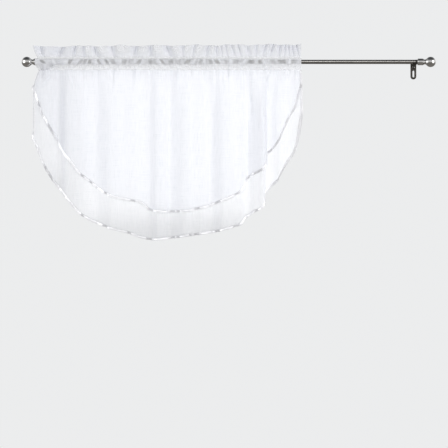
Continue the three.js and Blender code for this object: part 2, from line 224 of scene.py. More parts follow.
def hermite(x, knots, values, flat_ends=True):
    """A smooth curve through the knots, with the mean of the two chords as the slope at each."""
    slopes = between(np.diff(values) / np.diff(knots))
    if flat_ends:
        slopes[[0, -1]] = 0
    i, t = find_span(x, knots)
    span = knots[i + 1] - knots[i]
    start = t * (1 - t) ** 2 * span * slopes[i]
    end = t * t * (t - 1) * span * slopes[i + 1]
    return lerp(values[i], values[i + 1], smooth(t)) + start + end


# How an uneven wave drifts: by so many radians, over so many ridges, and its phase in seeds.
WAVE_DRIFTS = ((1.9, 7.3, 1.0), (1.1, 3.1, 2.3))


def uneven_wave(kind, across, slanted=0.0):
    """A wave whose pitch drifts, so that no two of its ridges are alike. From 0 to 1."""
    turns = 2 * np.pi * (across + kind.slant * slanted) / kind.pitch
    phase = turns
    for shift, ridges, turn in WAVE_DRIFTS:
        phase = phase + shift * np.sin(turns / ridges + turn * kind.seed)
    return 0.5 + 0.5 * np.sin(phase)


def plan_of_folds(steps=60):
    """The folds seen from above, a centripetal Catmull-Rom curve through the fold lines: places along the
    flat cloth, across and depth there, and the places of the fold lines."""
    points = np.stack([FOLD_LINES["across"], FOLD_LINES["depth"]], axis=1)
    reached = np.vstack([2 * points[0] - points[1], points, 2 * points[-1] - points[-2]])
    t = np.linspace(0, 1, steps, endpoint=False)[:, None]
    parts = []
    for before, start, end, after in zip(reached, reached[1:], reached[2:], reached[3:]):
        d0, d1, d2 = (np.linalg.norm(step) ** 0.5 for step in (start - before, end - start, after - end))
        leave = ((start - before) / d0 - (end - before) / (d0 + d1) + (end - start) / d1) * d1
        arrive = ((end - start) / d1 - (after - start) / (d1 + d2) + (after - end) / d2) * d1
        parts.append(lerp(start, end, smooth(t)) + t * (1 - t) ** 2 * leave + t * t * (t - 1) * arrive)
    curve = np.vstack([*parts, points[-1:]])
    lengths = path_lengths(curve)
    return lengths, curve[:, 0], curve[:, 1], lengths[::steps]


PLAN_PLACES, PLAN_ACROSS, PLAN_DEPTH, FOLD_PLACES = plan_of_folds()
FLAT_WIDTH = PLAN_PLACES[-1]
CREST_PLACES = FOLD_PLACES[np.isin(FOLD_LINES["across"], SEAM_CRESTS)]
SEAM_PLACES = np.concatenate([[0], CREST_PLACES, [FLAT_WIDTH]])
SEAM_ACROSS = np.concatenate([[POCKET_LEFT], SEAM_CRESTS, [POCKET_RIGHT]])


def hem_drop(column, place):
    """From the seam down to the hem, with its two lower corners rounded off."""
    place = np.clip(place, 0, FLAT_WIDTH)
    from_edge = np.clip(np.minimum(place, FLAT_WIDTH - place) / HEM_CORNER, 0, 1)
    corner = HEM_CORNER * (1 - np.sqrt(1 - (1 - from_edge) ** 2))
    return hermite(place, FOLD_PLACES, FOLD_LINES[column]) - corner


def band_height(column, place, width):
    """How far up the cloth a band along the hem reaches, measured straight up."""
    step = 2.0
    slope = (hem_drop(column, place + step) - hem_drop(column, place - step)) / (2 * step)
    return width * np.hypot(1, slope)


def pleat_knots():
    """Crests towards the room and the valleys between them, as places and depths."""
    pitches = np.diff(PLEAT_CRESTS)
    places = np.concatenate([PLEAT_CRESTS, PLEAT_CRESTS[:-1] + PLEAT_VALLEY * pitches])
    depths = PLEAT_FULLNESS * np.concatenate([-between(pitches), pitches])
    order = np.argsort(places)
    return places[order], depths[order]


PLEAT_PLACES, PLEAT_DEPTHS = pleat_knots()


def pleat_depth(across):
    """The pleats' depth: each falls back slowly from its crest and turns sharply in its valley."""
    i, share = find_span(across, PLEAT_PLACES)
    from_crest = PLEAT_DEPTHS[i] < 0
    turned = np.where(from_crest, share ** PLEAT_TURN, 1 - (1 - share) ** PLEAT_TURN)
    return lerp(PLEAT_DEPTHS[i], PLEAT_DEPTHS[i + 1], turned)


def left_fade(across, length):
    """From 1 at the pocket's left end down to 0."""
    return np.clip(1 - (across - POCKET_LEFT) / length, 0, 1)


def lean_from(across, share):
    return across - RUFFLE_LEAN * share * left_fade(across, LEAN_FADE) ** 2


def hang(place, drop):
    """Across and depth of the skirt's middle surface, by the place on the flat cloth and the drop."""
    fold_across = np.interp(place, PLAN_PLACES, PLAN_ACROSS)
    fold_depth = np.interp(place, PLAN_PLACES, PLAN_DEPTH)
    gathered = np.interp(place, SEAM_PLACES, SEAM_ACROSS)
    spread = 1 - (1 - np.clip(drop / SPREAD_DROP, 0, 1)) ** 3
    settle = 1 - (1 - np.clip(drop / SETTLE_DROP, 0, 1)) ** 2
    across = lerp(lean_from(gathered, SEAM_LEAN), fold_across, spread)
    depth = lerp(SEAM_SWAY * pleat_depth(gathered), fold_depth, settle)
    return across, depth


# Relief on the folds. A gather grows just below the seam, then fades and widens as it falls.
GATHER = Values(scale=1.4, at_seam=0.6, grown=12, fade=1.4, width=4.0, low_width=9.0)
CREASE_FULLNESS = 0.8
PUCKER = Values(pitch=8.7, seed=0.4, slant=0, height=1.3, reach=15)

# Fine wrinkles of two pitches, each in its own patches of the cloth.
PATCH = Values(pitch=140, seed=2.1, slant=1.7)
LONG_WRINKLE = Values(pitch=29, seed=1.3, slant=0.1, height=0.7, start=40)
SHORT_WRINKLE = Values(pitch=17, seed=2.9, slant=-0.07, height=0.3, start=60)


def relief(across, drop):
    """How far the cloth stands out from its main folds: gathers, creases, puckers and wrinkles."""
    below = np.clip(drop, 0, None)
    out = np.zeros(np.broadcast(across, drop).shape)
    grown = lerp(GATHER.at_seam, 1, smooth(below / GATHER.grown))
    for top, low, reach, height in GATHERS:
        share = np.clip(below / reach, 0, 1)
        middle = lerp(top, low, smooth(share))
        rise = GATHER.scale * height * grown * (1 - share) ** GATHER.fade
        out += rise * bell(across - middle, lerp(GATHER.width, GATHER.low_width, share))
    for top_x, top_d, low_x, low_d, bend, depth, width in CREASES:
        share = np.clip((below - top_d) / (low_d - top_d), 0, 1)
        middle = lerp(top_x, low_x, share) + bend * 4 * share * (1 - share)
        out -= depth * np.sin(np.pi * share) ** CREASE_FULLNESS * bell(across - middle, width)
    puckers = uneven_wave(PUCKER, across) - 0.5
    out += PUCKER.height * puckers * np.exp(-below / PUCKER.reach)
    patches = uneven_wave(PATCH, across, below)
    for kind, share in ((LONG_WRINKLE, patches), (SHORT_WRINKLE, 1 - patches)):
        wave = uneven_wave(kind, across, below) - 0.5
        out += kind.height * wave * smooth(below / kind.start) * share
    return out


def tier_points(place, drop, side):
    """Points of the front (side 1) or back (side -1) tier."""
    step = 1.5
    across, depth = hang(place, drop)
    along_x, along_y = np.subtract(hang(place + step, drop), hang(place - step, drop))
    length = np.hypot(along_x, along_y)
    offset = side * lerp(TIER_SPACING_SEAM, TIER_SPACING_HEM, np.clip(drop / SETTLE_DROP, 0, 1))
    offset = offset + relief(across, drop)
    x = across + offset * along_y / length
    y = depth - offset * along_x / length - ROD_PROJECTION
    z = np.broadcast_to(SEAM_HEIGHT - SEAM_GAP - drop, x.shape)
    return np.stack([x, y, z], axis=-1)


# Mesh making

def add_object(name, data):
    thing = bpy.data.objects.new(name, data)
    bpy.context.scene.collection.objects.link(thing)
    return thing


def grid_faces(rows, columns, loop=False):
    """The four-sided faces of a grid of points. loop joins the last row to the first."""
    index = np.arange(rows * columns).reshape(rows, columns)
    low = np.roll(index, -1, axis=0) if loop else index[1:]
    high = index if loop else index[:-1]
    return np.stack([high[:, :-1], low[:, :-1], low[:, 1:], high[:, 1:]], axis=-1).reshape(-1, 4)


def smooth_mesh(name, points, flat, faces=None):
    """A smooth mesh from points in millimetres, a grid unless faces are given, with flat places as UVs."""
    if faces is None:
        faces = grid_faces(*points.shape[:2])
    mesh = bpy.data.meshes.new(name)
    mesh.vertices.add(points.size // 3)
    mesh.vertices.foreach_set("co", (points.reshape(-1, 3) * MM).astype(np.float32).ravel())
    mesh.loops.add(faces.size)
    mesh.loops.foreach_set("vertex_index", faces.astype(np.int32).ravel())
    mesh.polygons.add(len(faces))
    mesh.polygons.foreach_set("loop_start", np.arange(0, faces.size, 4, dtype=np.int32))
    mesh.update(calc_edges=True)
    mesh.polygons.foreach_set("use_smooth", np.ones(len(faces), bool))
    uv = mesh.uv_layers.new(name="flat")
    uv.data.foreach_set("uv", (flat.reshape(-1, 2)[faces.ravel()] * MM).astype(np.float32).ravel())
    mesh.validate()
    return mesh


def add_piece(name, mesh, material, slot, *nodes, thickness=0.0):
    """A visible piece on the part's one body, in place of the nodes named."""
    piece = add_object(name, mesh)
    if thickness:
        solid = piece.modifiers.new("thickness", "SOLIDIFY")
        solid.thickness = thickness * MM
        solid.offset = 0
    mesh.materials.append(material)
    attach(piece, "root")
    if nodes:
        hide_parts(*nodes)
    return piece


# Cloth

VOILE_DENSITY = 0.36
TIER_FLANK_LIMIT = 0.5
HEADING_FLANK_LIMIT = 0.65
MOST_COVER = 0.94
SEAM_COVER = Values(extra=0.28, reach=30)


def flank_density(points, base, limit):
    """How dense a sheet looks: more so on its flanks, as the light crosses more thread there."""
    normal = np.cross(np.gradient(points, axis=0), np.gradient(points, axis=1))
    facing = np.abs(normal[..., 1]) / np.linalg.norm(normal, axis=-1)
    return 1 - (1 - np.minimum(base, MOST_COVER)) ** (1 / np.clip(facing, limit, 1))


def cloth_piece(node, points, flat, density, material):
    mesh = smooth_mesh(node + "_cloth", points, flat)
    attribute = mesh.attributes.new("cover", "FLOAT", "POINT")
    attribute.data.foreach_set("value", density.astype(np.float32).ravel())
    return add_piece(node + "_cloth", mesh, material, "voile", node, thickness=SHEET)


def tier_piece(node, column, side, material):
    inset = RIBBON_WIDTH - RIBBON_OVERLAP
    place = np.linspace(inset, FLAT_WIDTH - inset, TIER_COLUMNS)[None, :]
    low = hem_drop(column, place) - band_height(column, place, inset)
    drop = lerp(-SEAM_TUCK, low, np.linspace(0, 1, TIER_ROWS)[:, None] ** ROW_CROWDING)
    points = tier_points(place, drop, side)
    gathered = 1 + SEAM_COVER.extra * np.exp(-np.clip(drop, 0, None) / SEAM_COVER.reach)
    density = flank_density(points, VOILE_DENSITY, TIER_FLANK_LIMIT) * gathered
    return cloth_piece(node, points, paired(place, -drop), density, material)


# The heading's small gathers: slanting ridges and finer tucks on slightly slack cloth, flattened in a
# band on the rod and open at the pocket's left mouth. Slants and waves have a height, pitch and phase.
FOLD_SLANT = (0.6, 173, 0.6)
RIDGE = Values(pitch=23, seed=0.7, slant=1.0, height=2.2, sharpness=3)
TUCK = Values(pitch=13, seed=1.9, slant=-0.4, height=0.7, sharpness=2)
POCKET_SLACK = 0.8
MOUTH = Values(length=45, height=1.8, above=5)
ROD_BAND = 8.0
ROD_STEEPNESS = 8
FLAT_BAND = 7.0
FLAT_STEEPNESS = 4
BELOW_ROD = Values(start=-9, length=12)

# The ruffle: its pleats slant and grow fuller, and its top edge waves and rises to the right.
RUFFLE = Values(base=14, free=36, fullness=1.35, fuller_from=16, blend=20)
PLEAT_SLANT = (0.35, 211, 2.4)
TOP_WAVES = ((1.5, 117, 1.1), (1.0, 47, 0.3))
TOP_RISE = (-3.5, 3.0)

# How the heading's cover changes along the pocket, by bells of height, middle and width and ramps of
# height, start and length. At each seam it is thinner by a share, at a height, over a width, which
# lightens the shade that falls there: painted light.
# The ruffle's bell near 65 mm makes the cloth denser and darkens its folds there: painted shade.
RUFFLE_COVER_AND_SHADE = {"base": 1, "bells": ((1.0, POCKET_LEFT, 30), (0.9, 65, 22)), "ramps": ((0.5, 560, 150),)}
# Below the rod the pocket is thinner, which lightens the shade there: painted light. The bell near the
# left end makes it denser over the bracket.
LOW_COVER_AND_PAINTED_LIGHT = {"base": 0.5, "bells": ((1.8, 26, 9),), "ramps": ((0.15, 400, 300),)}
LOW_BAND = 10
BUNCHED = {"base": 1, "ramps": ((-0.25, 450, 150),)}
LEFT_BUNCH = Values(extra=0.6, length=420)
PACKED = Values(flat=0.35, ridge=0.5, off_rod=0.2, on_rod=2.1)
# Denser cloth in the pleat valleys than on the crests: partly the overlapping layers, partly painted shade
# in the valleys.
PLEAT_COVER_AND_SHADE = Values(turn=0.06, crest=0.5, valley=1.1)
# Below the rod the cloth is thinner between the gathers and denser on them: partly bunched cloth, partly
# painted shade of the gathers.
GATHER_SHADE = Values(base=0.75, gain=0.3, most=3.0)
SEAM_PAINTED_LIGHT = ((0.85, 11.0, 3.2), (0.7, -24.5, 1.8))
LAID_THINNING = 0.4


def sines(across, *waves):
    """Sine waves along the pocket, added up."""
    return sum(height * np.sin(2 * np.pi * across / pitch + phase) for height, pitch, phase in waves)


def along_pocket(across, base, bells=(), ramps=()):
    """A value along the pocket: a base with bells and ramps added."""
    value = base + sum(height * bell(across - middle, width) for height, middle, width in bells)
    return value + sum(height * smooth((across - start) / length) for height, start, length in ramps)


def laid_on_rod(across, up):
    """The share of the gathers that the flat spots take away, in a band on the rod."""
    laid = np.zeros(across.shape)
    for middle, half, taken in FLAT_SPOTS:
        laid = np.maximum(laid, taken * plateau(across - middle, half, FLAT_STEEPNESS))
    return laid * plateau(up, FLAT_BAND, FLAT_STEEPNESS)


def heading_cover(across, up, on_rod, gathered, ridge, pleat, streaks):
    """How densely the heading's cloth covers what is behind it, as a multiple of plain voile."""
    bunched = along_pocket(across, **BUNCHED) + LEFT_BUNCH.extra * left_fade(across, LEFT_BUNCH.length)
    packed = gathered * (PACKED.flat + PACKED.ridge * ridge)
    packed = packed * (PACKED.off_rod + PACKED.on_rod * on_rod * bunched)
    # Denser valleys: partly overlapping layers, partly painted shade.
    valley = smooth(0.5 + PLEAT_COVER_AND_SHADE.turn * pleat)
    ruffle = lerp(PLEAT_COVER_AND_SHADE.crest, PLEAT_COVER_AND_SHADE.valley, valley) * along_pocket(across, **RUFFLE_COVER_AND_SHADE)
    # The thinner pocket below the rod is painted light on its shade.
    pocket = lerp(along_pocket(across, **LOW_COVER_AND_PAINTED_LIGHT), 1.0, smooth(1 + up / LOW_BAND))
    thinned = lerp(pocket, ruffle, smooth((up - RUFFLE.base) / RUFFLE.blend))
    # Thinner cloth at the ruffle's base and at the lower seam lightens the shade there: painted light.
    for share, height, width in SEAM_PAINTED_LIGHT:
        thinned = thinned * (1 - share * bell(up - height, width))
    return lerp(thinned * streaks, 1, on_rod) + packed


def heading_points(across, section_share):
    """Points of the heading by the place along the pocket and the share of the way round its section,
    and the cloth's cover there."""
    knots = np.linspace(0, 1, len(HEADING_SECTION["up"]))
    up, out, sway, lean, gather = (
        hermite(section_share, knots, column, flat_ends=False) for column in HEADING_SECTION.values())
    slanted = sines(across, FOLD_SLANT) * up
    laid = laid_on_rod(across + slanted, up)
    gathered = gather * (1 - laid)
    ridge = uneven_wave(RIDGE, across, slanted) ** RIDGE.sharpness
    tucks = uneven_wave(TUCK, across, slanted) ** TUCK.sharpness
    bulge = gathered * (RIDGE.height * ridge + TUCK.height * tucks + POCKET_SLACK)
    mouth = left_fade(across, MOUTH.length) ** 2 * (out > MOUTH.above)
    out = out + np.sign(out) * (bulge + MOUTH.height * mouth)
    pleat = pleat_depth(across + sines(across, PLEAT_SLANT) * np.clip(up - RUFFLE.base, 0, None))
    fuller = lerp(1.0, RUFFLE.fullness, smooth((up - RUFFLE.fuller_from) / RUFFLE.blend))
    seam_relief = relief(lean_from(across, SEAM_LEAN), np.zeros_like(across))
    below_rod = smooth((BELOW_ROD.start - up) / BELOW_ROD.length)
    depth = fuller * sway * pleat - out - seam_relief * below_rod
    # The streaks in the cover below the rod are partly bunched cloth, partly painted shade of the gathers.
    streaks = GATHER_SHADE.base + GATHER_SHADE.gain * np.clip(seam_relief, 0, GATHER_SHADE.most)
    streaks = lerp(1.0, streaks, below_rod)
    on_rod = plateau(up, ROD_BAND, ROD_STEEPNESS)
    top = sines(across, *TOP_WAVES) + lerp(*TOP_RISE, across / POCKET_RIGHT)
    up = up + top * smooth((up - RUFFLE.base) / RUFFLE.free)
    points = np.stack([lean_from(across, lean), depth - ROD_PROJECTION, up], axis=-1)
    cover = heading_cover(across, up, on_rod, gathered, ridge, pleat, streaks)
    return points, VOILE_DENSITY * (1 - LAID_THINNING * laid * gather) * cover


def heading_piece(material):
    across, share = np.meshgrid(
        np.linspace(POCKET_LEFT, POCKET_RIGHT, HEADING_COLUMNS), np.linspace(0, 1, HEADING_ROWS))
    points, cover = heading_points(across, share)
    steps = np.linalg.norm(np.diff(points[:, :, 1:], axis=0), axis=-1).mean(axis=1)
    around = np.concatenate([[0], np.cumsum(steps)])[:, None]
    flat = paired(across * FLAT_WIDTH / (POCKET_RIGHT - POCKET_LEFT), around)
    density = flank_density(points, cover, HEADING_FLANK_LIMIT)
    return cloth_piece("heading", points, flat, density, material), around[-1, 0]


def stitch_piece(name, material):
    pitch, length, stations, sides = STITCH.pitch, STITCH.length, STITCH.stations, STITCH.sides
    share = np.linspace(0, 1, stations)
    arch = np.sin(np.pi * share)
    starts = np.arange(POCKET_LEFT + pitch, POCKET_RIGHT - 2 * pitch, pitch)
    across = starts[:, None] + length * share
    angle = np.linspace(0, 2 * np.pi, sides, endpoint=False)[:, None]
    radius = STITCH.radius * lerp(STITCH.end, 1, arch)
    around = np.zeros((sides, stations, 3))
    around[..., 1], around[..., 2] = radius * np.cos(angle), radius * np.sin(angle)
    rise = SHEET / 2 + STITCH.arch * (arch - STITCH.sunk)
    bodies = []
    for section_share, roomward in STITCH_ROWS:
        middle, _ = heading_points(across, np.full_like(across, section_share))
        middle[..., 1] -= roomward * rise
        bodies.append(middle[:, None] + around)
    points = np.concatenate(bodies)
    flat = np.broadcast_to(paired(length * share, STITCH.radius * angle), (*points.shape[:-1], 2))
    first = np.arange(len(points))[:, None, None] * sides * stations
    faces = grid_faces(sides, stations, loop=True) + first
    mesh = smooth_mesh(name, points, flat, faces.reshape(-1, 4))
    cap_ends(mesh)
    return add_piece(name, mesh, material, "voile")


def with_sides(place, drop):
    """Carries an edge along the hem on up both sides to the seam: places and drops, from left to right."""
    share = np.linspace(0, 1, RIBBON_SIDE_STATIONS, endpoint=False)
    ones = np.ones_like(share)
    places = np.concatenate([place[0] * ones, place, place[-1] * ones])
    return places, np.concatenate([share * drop[0], drop, share[::-1] * drop[-1]])


def ribbon_piece(node, column, side, rolls, material):
    inner = np.linspace(RIBBON_WIDTH, FLAT_WIDTH - RIBBON_WIDTH, RIBBON_STATIONS)
    outer = np.concatenate([[0], inner[1:-1], [FLAT_WIDTH]])
    inner_drop = hem_drop(column, inner) - band_height(column, inner, RIBBON_WIDTH)
    inside = tier_points(*with_sides(inner, inner_drop), side)
    outside = tier_points(*with_sides(outer, hem_drop(column, outer)), side)
    width = outside - inside
    tangent = np.gradient((inside + outside) / 2, axis=0)
    normal = np.cross(tangent, width)
    normal /= np.linalg.norm(normal, axis=1, keepdims=True)
    normal *= np.where(normal[:, 1:2] > 0, -1, 1)
    turn = np.full(len(inside), float(RIBBON_TURN))
    for across, half, degrees in rolls:
        turn = lerp(turn, degrees, plateau(inside[:, 0] - across, half, ROLL_STEEPNESS))
    from_corner = np.arange(RIBBON_SIDE_STATIONS)[::-1] / RIBBON_CORNER_STATIONS
    turn[:RIBBON_SIDE_STATIONS] = lerp(turn[:RIBBON_SIDE_STATIONS], SIDE_TURN, smooth(from_corner))
    turn = np.radians(turn)[:, None]
    span = np.linalg.norm(width, axis=1, keepdims=True)
    rolled = width * np.cos(turn) + normal * span * np.sin(turn)
    face = normal * np.cos(turn) - width / span * np.sin(turn)
    angle = np.linspace(0, 2 * np.pi, RIBBON_SECTION, endpoint=False)
    across = np.sign(np.cos(angle)) * np.abs(np.cos(angle)) ** RIBBON_SQUARENESS
    crown = np.sin(angle) * (1 - RIBBON_CROWN * across ** 2)
    points = inside + rolled * (0.5 + 0.5 * across)[:, None, None]
    points = points + face * (RIBBON_HALF_THICKNESS * crown)[:, None, None]
    flat = paired(path_lengths(outside), (RIBBON_WIDTH / 2 * across)[:, None])
    mesh = smooth_mesh(node + "_binding", points, flat, grid_faces(*points.shape[:2], loop=True))
    cap_ends(mesh)
    return add_piece(node + "_binding", mesh, material, "satin_ribbon", node)


def cap_ends(mesh):
    """Closes a tube's open ends."""
    work = bmesh.new()
    work.from_mesh(mesh)
    bmesh.ops.holes_fill(work, edges=[edge for edge in work.edges if edge.is_boundary])
    bmesh.ops.recalc_face_normals(work, faces=work.faces)
    work.to_mesh(mesh)
    work.free()


# Node trees. A wave texture with a scale of 1 turns by so many radians in a unit.

WAVE_TEXTURE_RADIANS = 20


class Nodes:
    """A node tree with short calls: a socket is given a value, or another node's output."""

    def __init__(self, owner):
        owner.use_nodes = True
        self.tree = owner.node_tree
        self.tree.nodes.clear()

    def node(self, kind, sockets=None, **settings):
        node = self.tree.nodes.new("ShaderNode" + kind)
        for name, value in settings.items():
            setattr(node, name, value)
        for name, value in (sockets or {}).items():
            if isinstance(value, bpy.types.NodeSocket):
                self.tree.links.new(value, node.inputs[name])
            else:
                node.inputs[name].default_value = value
        return node

    def add(self, kind, sockets=None, output=0, **settings):
        """Adds a node and gives its first output, or the one named."""
        return self.node(kind, sockets, **settings).outputs[output]

    def flat(self):
        """The places on the flat cloth or metal, in metres."""
        return self.add("UVMap", uv_map="flat")

    def noise(self, coordinates, stretch, detail):
        """Noise with so many features a metre along each axis."""
        mapped = self.add("Mapping", {"Vector": coordinates, "Scale": stretch})
        return self.add("TexNoise", {"Vector": mapped, "Scale": 1.0, "Detail": detail})

    def bands(self, coordinates, direction, pitch):
        """A sine wave along one axis of the coordinates, its pitch in millimetres."""
        scale = 2 * math.pi / WAVE_TEXTURE_RADIANS / (pitch * MM)
        sockets = {"Vector": coordinates, "Scale": scale}
        return self.add("TexWave", sockets, "Fac", bands_direction=direction)

    def math(self, operation, first, second):
        return self.add("Math", {0: first, 1: second}, operation=operation)

    def range(self, value, low, high, start=0.0, end=1.0):
        sockets = {"Value": value, "From Min": start, "From Max": end, "To Min": low, "To Max": high}
        return self.add("MapRange", sockets)

    def mix(self, share, first, second):
        return self.add("MixShader", {0: share, 1: first, 2: second})

    def ramp(self, value, *stops):
        node = self.node("ValToRGB", {"Fac": value})
        elements = node.color_ramp.elements
        while len(elements) < len(stops):
            elements.new(0.5)
        for element, (position, colour) in zip(elements, stops):
            element.position = position
            element.color = (*colour, 1)
        return node.outputs["Color"]

    def bump(self, height, distance):
        return self.add("Bump", {"Height": height, "Distance": distance * MM})

    def output(self, shader, kind="OutputMaterial"):
        self.node(kind, {"Surface": shader})


def new_material(name):
    material = bpy.data.materials.new(name)
    return material, Nodes(material)


VOILE_THROUGH = Values(thin=0.62, dense=0.5, from_cover=0.5, to_cover=0.9)
SATIN_THROUGH = 0.42
THREAD_THROUGH = 0.7


def voile_material():
    """Fine plain weave that lets part of the light straight through and scatters the rest."""
    material, nodes = new_material("voile")
    flat = nodes.flat()
    slubs = nodes.math("ADD", nodes.noise(flat, (620, 26, 1), 3), nodes.noise(flat, (22, 700, 1), 3))
    threads = nodes.math("ADD", nodes.bands(flat, "X", 0.8), nodes.bands(flat, "Y", 0.9))
    colour = nodes.ramp(slubs, (0.7, (0.90, 0.915, 0.95)), (1.0, (0.95, 0.955, 0.975)))
    normal = nodes.bump(nodes.math("ADD", nodes.math("MULTIPLY", threads, 0.4), slubs), 0.12)
    cloth = nodes.add("BsdfPrincipled", {
        "Base Color": colour, "Roughness": 0.85, "Sheen Weight": 0.2, "Sheen Roughness": 0.45,
        "Specular IOR Level": 0.25, "Normal": normal})
    through = nodes.add("BsdfTranslucent", {"Color": colour, "Normal": normal})
    density = nodes.add("Attribute", output="Fac", attribute_name="cover")
    forward = nodes.range(density, *vars(VOILE_THROUGH).values())
    weave = nodes.math("MULTIPLY", nodes.range(threads, 0.94, 1.06), nodes.range(slubs, 0.80, 1.20))
    alpha = nodes.math("MULTIPLY", density, weave)
    clear = nodes.add("BsdfTransparent")
    nodes.output(nodes.mix(alpha, clear, nodes.mix(forward, cloth, through)))
    return material


def satin_material():
    """Close satin ribbon: fine ribs across it and a soft gloss along it."""
    material, nodes = new_material("satin ribbon")
    flat = nodes.flat()
    ribs = nodes.bands(flat, "X", 0.7)
    streaks = nodes.noise(flat, (30, 900, 1), 3)
    colour = nodes.ramp(streaks, (0.3, (0.90, 0.90, 0.92)), (0.7, (0.97, 0.97, 0.98)))
    height = nodes.math("ADD", nodes.math("MULTIPLY", ribs, 0.5), streaks)
    shader = nodes.add("BsdfPrincipled", {
        "Base Color": colour, "Metallic": 0.40, "Roughness": nodes.range(streaks, 0.18, 0.30),
        "Sheen Weight": 0.15, "Specular IOR Level": 0.6,
        "Normal": nodes.bump(height, 0.06)})
    through = nodes.add("BsdfTranslucent", {"Color": colour})
    nodes.output(nodes.mix(SATIN_THROUGH, shader, through))
    return material


def brushed_metal(name, dark, light, roughness, stretch, bump=0.03):
    """Metal with fine polishing lines and small changes of tone and gloss."""
    material, nodes = new_material(name)
    flat = nodes.flat()
    lines = nodes.noise(flat, stretch, 4)
    clouds = nodes.noise(flat, (35, 35, 1), 3)
    mixed = nodes.math("ADD", nodes.math("MULTIPLY", lines, 0.5), nodes.math("MULTIPLY", clouds, 0.5))
    nodes.output(nodes.add("BsdfPrincipled", {
        "Base Color": nodes.ramp(mixed, (0.3, dark), (0.7, light)), "Metallic": 1.0,
        "Roughness": nodes.range(mixed, roughness - 0.07, roughness + 0.09),
        "Normal": nodes.bump(lines, bump)}))
    return material


def thread_material():
    """Twisted sewing thread, fine enough to let light through."""
    material, nodes = new_material("sewing thread")
    twist = nodes.bands(nodes.flat(), "DIAGONAL", 0.5)
    colour = nodes.ramp(twist, (0.0, (0.88, 0.89, 0.91)), (1.0, (0.97, 0.97, 0.98)))
    thread = nodes.add("BsdfPrincipled", {
        "Base Color": colour, "Roughness": 0.6, "Sheen Weight": 0.3,
        "Normal": nodes.bump(twist, 0.08)})
    through = nodes.add("BsdfTranslucent", {"Color": colour})
    nodes.output(nodes.mix(THREAD_THROUGH, thread, through))
    return material


# Turned pieces

LATHE_SIDES = 72
TURNED_SHARP_ANGLE = 40
MERGE_DISTANCE = 1e-6
SHORTEST_EDGE = 1e-7
MOST_CUT = 0.45


def arc(centre, radius, start, end, steps=20):
    """Points of an arc; angles in degrees from the first axis."""
    angles = np.radians(np.linspace(start, end, steps))
    return [(centre[0] + radius * math.cos(a), centre[1] + radius * math.sin(a)) for a in angles]


def turned_mesh(name, profile, origin, direction, sides=LATHE_SIDES, shape=None):
    """A closed turned body on an axis through origin. profile rows are (along, radius)."""
    along, radius = np.array(profile, float).T
    angle = np.linspace(0, 2 * np.pi, sides + 1)
    axis = Vector(direction).normalized()
    side = axis.orthogonal().normalized()
    up = axis.cross(side)
    shift = shape(along[:, None], radius[:, None], angle[None, :]) if shape else 0
    lengths = (along[:, None] + shift) * np.ones_like(angle)
    turned = np.stack([lengths, radius[:, None] * np.cos(angle), radius[:, None] * np.sin(angle)], axis=-1)
    points = np.array(origin, float) + turned @ np.array([axis, side, up])
    flat = paired(path_lengths(np.array(profile))[:, None], angle * radius.max())
    mesh = smooth_mesh(name, points, flat)
    work = bmesh.new()
    work.from_mesh(mesh)
    bmesh.ops.remove_doubles(work, verts=work.verts, dist=MERGE_DISTANCE)
    bmesh.ops.dissolve_degenerate(work, edges=work.edges, dist=SHORTEST_EDGE)
    bmesh.ops.recalc_face_normals(work, faces=work.faces)
    work.to_mesh(mesh)
    work.free()
    mesh.set_sharp_from_angle(angle=math.radians(TURNED_SHARP_ANGLE))
    return mesh


def rounded(corners, radius, steps=4):
    """A profile with each inner corner rounded off by at most MOST_CUT of a side."""
    points = [corners[0]]
    for before, corner, after in zip(corners, corners[1:], corners[2:]):
        before, corner, after = (np.array(point, float) for point in (before, corner, after))
        back, on = np.linalg.norm(before - corner), np.linalg.norm(after - corner)
        cut = min(radius, MOST_CUT * back, MOST_CUT * on)
        start = corner + (before - corner) / back * cut
        end = corner + (after - corner) / on * cut
        for t in np.linspace(0, 1, steps):
            points.append(tuple((1 - t) ** 2 * start + 2 * t * (1 - t) * corner + t * t * end))
    points.append(corners[-1])
    return points


TUBE_EDGE = 0.35
OUTER_TUBE = Values(radius=8.0, bore=7.0, start=-8.2, end=520.0)
INNER_TUBE = Values(radius=6.7, bore=5.7, start=440.0, end=1171.2)
CAP = Values(start=8.5, end=27.2, radius=10.5, bevel=1.5, plug=14.0, play=0.3, edge=0.7)
# A thin dark ring on each tube's end at the cap stands in for the shade there: painted shadow.
SHADOW_RING = Values(start=2.2, inside=0.02, outside=0.22, edge=0.08)
FINIAL = Values(centre=49.5, radius=16.25, neck=7.5, foot=27.5, flare=9.5)
FLANGE = Values(rim=1.2, fall=0.3, length=3.0, edge=0.8)
WAIST = Values(length=6.4, growth=0.3, shoulder_angle=15, edge=4.0)


def ring_profile(start, end, inner, outer, edge):
    """The closed profile of a tube with rounded edges."""
    middle = ((start + end) / 2, inner)
    return rounded([middle, (start, inner), (start, outer), (end, outer), (end, inner), middle], edge)


def rod_piece(name, profile, across, outward, material, slot, *nodes):
    """A turned piece on the rod's axis, its profile running outward from a place along the rod."""
    mesh = turned_mesh(name, profile, (across, -ROD_PROJECTION, 0), (outward, 0, 0))
    add_piece(name, mesh, material, slot, *nodes)


def tube_piece(name, tube, material):
    profile = ring_profile(0, tube.end - tube.start, tube.bore, tube.radius, TUBE_EDGE)
    rod_piece(name + "_turned", profile, tube.start, 1, material, "rod_metal", name)


def cap_piece(name, across, outward, bore, material):
    start, end, radius, bevel, plug_length, play, edge = vars(CAP).values()
    plug, inside = bore - play, start - plug_length
    corners = [
        (inside, 0), (inside, plug), (start, plug), (start, radius - bevel), (start + bevel, radius),
        (end - bevel, radius), (end, radius - bevel), (end, 0)]
    profile = rounded(corners, edge)
    rod_piece(name + "_turned", profile, across, outward, material, "finial_metal", name)


